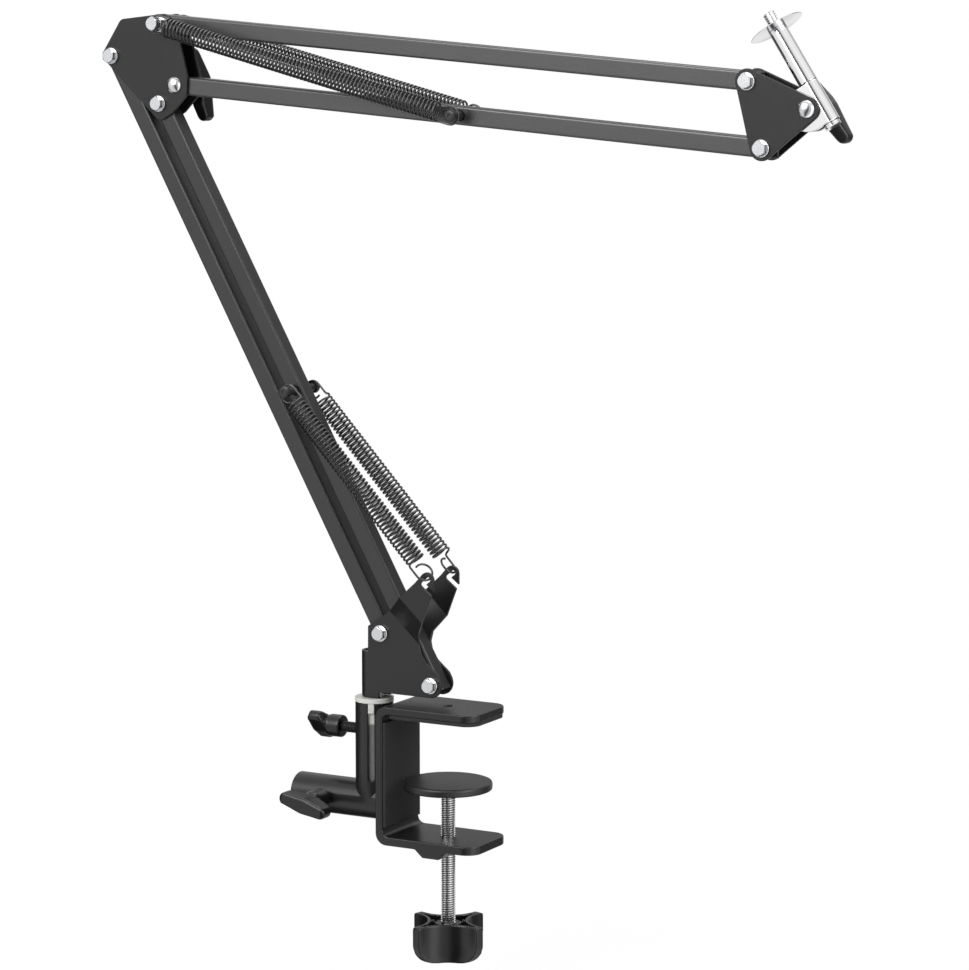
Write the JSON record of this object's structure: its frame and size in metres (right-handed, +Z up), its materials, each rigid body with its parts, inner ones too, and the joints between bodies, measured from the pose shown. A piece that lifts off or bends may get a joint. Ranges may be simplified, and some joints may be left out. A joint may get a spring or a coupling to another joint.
{
  "type": "microphone boom arm",
  "caption": "Desk-clamped microphone boom arm: swivel socket, two spring-balanced parallelogram arms of square tube, and a tilting threaded post on a wing-nut head.",
  "frame": {"origin": "where the clamp screw's axis meets the underside of the top jaw's pad, which is the desk's top surface", "axes": "+Z up, +X from the desk's edge in over the desk, arm plane at Y = 0"},
  "size_m": [0.4423, 0.0601, 0.5128],
  "materials": {
    "black_paint": "satin powder coat",
    "zinc_steel": "bright zinc plate",
    "bright_chrome": "polished",
    "black_plastic": "fine moulded grain",
    "nylon": "natural nylon",
    "rubber_pad": "matt",
    "spring_wire": "black spring wire, slightly glossy"
  },
  "bodies": {
    "clamp": {"clamp_bracket": "black_paint", "top_pad": "rubber_pad", "wall_pad": "rubber_pad", "socket_stub": "zinc_steel"},
    "disc": {"pressure_disc": "black_paint", "disc_collar": "zinc_steel"},
    "screw": {"clamp_screw": "zinc_steel", "clamp_knob": "black_plastic"},
    "socket": {"tee_socket": "black_paint", "nylon_sleeve": "nylon"},
    "tilt_lock": {"tilt_lock_screw": "zinc_steel", "tilt_lock_wing": "black_plastic"},
    "pan_lock": {"pan_lock_screw": "zinc_steel", "pan_lock_wing": "black_plastic"},
    "base": {"base_bracket": "black_paint", "base_pin": "zinc_steel", "base_bolts": "zinc_steel", "base_washers": "zinc_steel", "base_nuts": "zinc_steel"},
    "lower_main": {"lower_main_tube": "black_paint"},
    "lower_link": {"lower_link_tube": "black_paint", "lower_spring_pin": "black_paint"},
    "lower_springs": {"lower_spring_front": "spring_wire", "lower_spring_rear": "spring_wire"},
    "elbow": {"elbow_plate_front": "black_paint", "elbow_plate_rear": "black_paint", "elbow_bolts": "zinc_steel", "elbow_washers": "zinc_steel", "elbow_nuts": "zinc_steel", "elbow_spring_bolt": "zinc_steel", "elbow_carriage_bolt": "zinc_steel"},
    "elbow_wing": {"elbow_wing_nut": "black_plastic"},
    "upper_main": {"upper_main_tube": "black_paint"},
    "upper_link": {"upper_link_tube": "black_paint", "upper_spring_pin": "black_paint", "upper_spring_front": "spring_wire", "upper_spring_rear": "spring_wire"},
    "head": {"head_plate_front": "black_paint", "head_plate_rear": "black_paint", "head_bolts": "zinc_steel", "head_washers": "zinc_steel", "head_nuts": "zinc_steel", "head_carriage_bolt": "zinc_steel"},
    "head_wing": {"head_wing_nut": "black_plastic"},
    "clip": {"swivel_clip": "bright_chrome"},
    "post": {"mic_post": "bright_chrome", "post_flange": "bright_chrome"}
  },
  "joints": [
    {"name": "disc_travel", "type": "slide", "parent": "clamp", "child": "disc", "axis": [0, 0, 1], "range_m": [-0.022, 0.0345]},
    {"name": "screw_turn", "type": "hinge", "parent": "disc", "child": "screw", "pos_m": [0, 0, -0.08], "axis": [0, 0, 1], "range_deg": [-6337, 9937]},
    {"name": "socket_tilt", "type": "hinge", "parent": "clamp", "child": "socket", "pos_m": [-0.0463, 0, -0.0504], "axis": [1, 0, 0], "range_deg": [-8, 8]},
    {"name": "tilt_lock_turn", "type": "hinge", "parent": "socket", "child": "tilt_lock", "pos_m": [-0.0726, 0, -0.0504], "axis": [0, -1, 0], "range_deg": [-180, 180]},
    {"name": "pan_lock_turn", "type": "hinge", "parent": "socket", "child": "pan_lock", "pos_m": [-0.0463, 0, -0.0115], "axis": [-1, 0, 0], "range_deg": [-180, 180]},
    {"name": "base_pan", "type": "hinge", "parent": "socket", "child": "base", "pos_m": [-0.0463, 0, 0.02], "axis": [0, 0, 1], "continuous": true},
    {"name": "lower_arm_swing", "type": "hinge", "parent": "base", "child": "lower_main", "pos_m": [-0.0383, 0, 0.0439], "axis": [0, 1, 0], "range_deg": [-5, 65]},
    {"name": "lower_link_swing", "type": "hinge", "parent": "base", "child": "lower_link", "pos_m": [-0.00703, 0, 0.01785], "axis": [0, 1, 0], "range_deg": [-5, 65]},
    {"name": "lower_spring_turn", "type": "hinge", "parent": "base", "child": "lower_springs", "pos_m": [-0.0041, 0, 0.0771], "axis": [0, 1, 0], "range_deg": [-8, 94], "deforming": ["lower_spring_front", "lower_spring_rear"]},
    {"name": "elbow_level", "type": "hinge", "parent": "lower_main", "child": "elbow", "pos_m": [-0.21041, 0, 0.35439], "axis": [0, 1, 0], "range_deg": [-65, 5]},
    {"name": "elbow_wing_turn", "type": "hinge", "parent": "elbow", "child": "elbow_wing", "pos_m": [-0.16886, 0, 0.33861], "axis": [0, 1, 0], "range_deg": [-180, 180]},
    {"name": "upper_arm_swing", "type": "hinge", "parent": "elbow", "child": "upper_main", "pos_m": [-0.17721, 0, 0.37209], "axis": [0, -1, 0], "range_deg": [-30, 60]},
    {"name": "upper_link_swing", "type": "hinge", "parent": "elbow", "child": "upper_link", "pos_m": [-0.16886, 0, 0.33861], "axis": [0, -1, 0], "range_deg": [-30, 60], "deforming": ["upper_spring_front", "upper_spring_rear"]},
    {"name": "head_level", "type": "hinge", "parent": "upper_main", "child": "head", "pos_m": [0.17665, 0, 0.34362], "axis": [0, -1, 0], "range_deg": [-60, 30]},
    {"name": "head_wing_turn", "type": "hinge", "parent": "head", "child": "head_wing", "pos_m": [0.20925, 0, 0.33002], "axis": [0, 1, 0], "range_deg": [-180, 180]},
    {"name": "clip_swing", "type": "hinge", "parent": "head", "child": "clip", "pos_m": [0.20925, 0, 0.33002], "axis": [0, -1, 0], "range_deg": [-150, 12]},
    {"name": "post_spin", "type": "hinge", "parent": "clip", "child": "post", "pos_m": [0.21386, 0, 0.33301], "axis": [-0.5446, 0, 0.8387], "continuous": true}
  ],
  "couplings": [
    {"joint": "screw_turn", "follows": "disc_travel", "rad_per_m": 5026.5},
    {"joint": "lower_link_swing", "follows": "lower_arm_swing", "ratio": 1},
    {"joint": "lower_spring_turn", "follows": "lower_arm_swing", "ratio": 1.431},
    {"joint": "elbow_level", "follows": "lower_arm_swing", "ratio": -1},
    {"joint": "upper_link_swing", "follows": "upper_arm_swing", "ratio": 1},
    {"joint": "head_level", "follows": "upper_arm_swing", "ratio": -1}
  ]
}
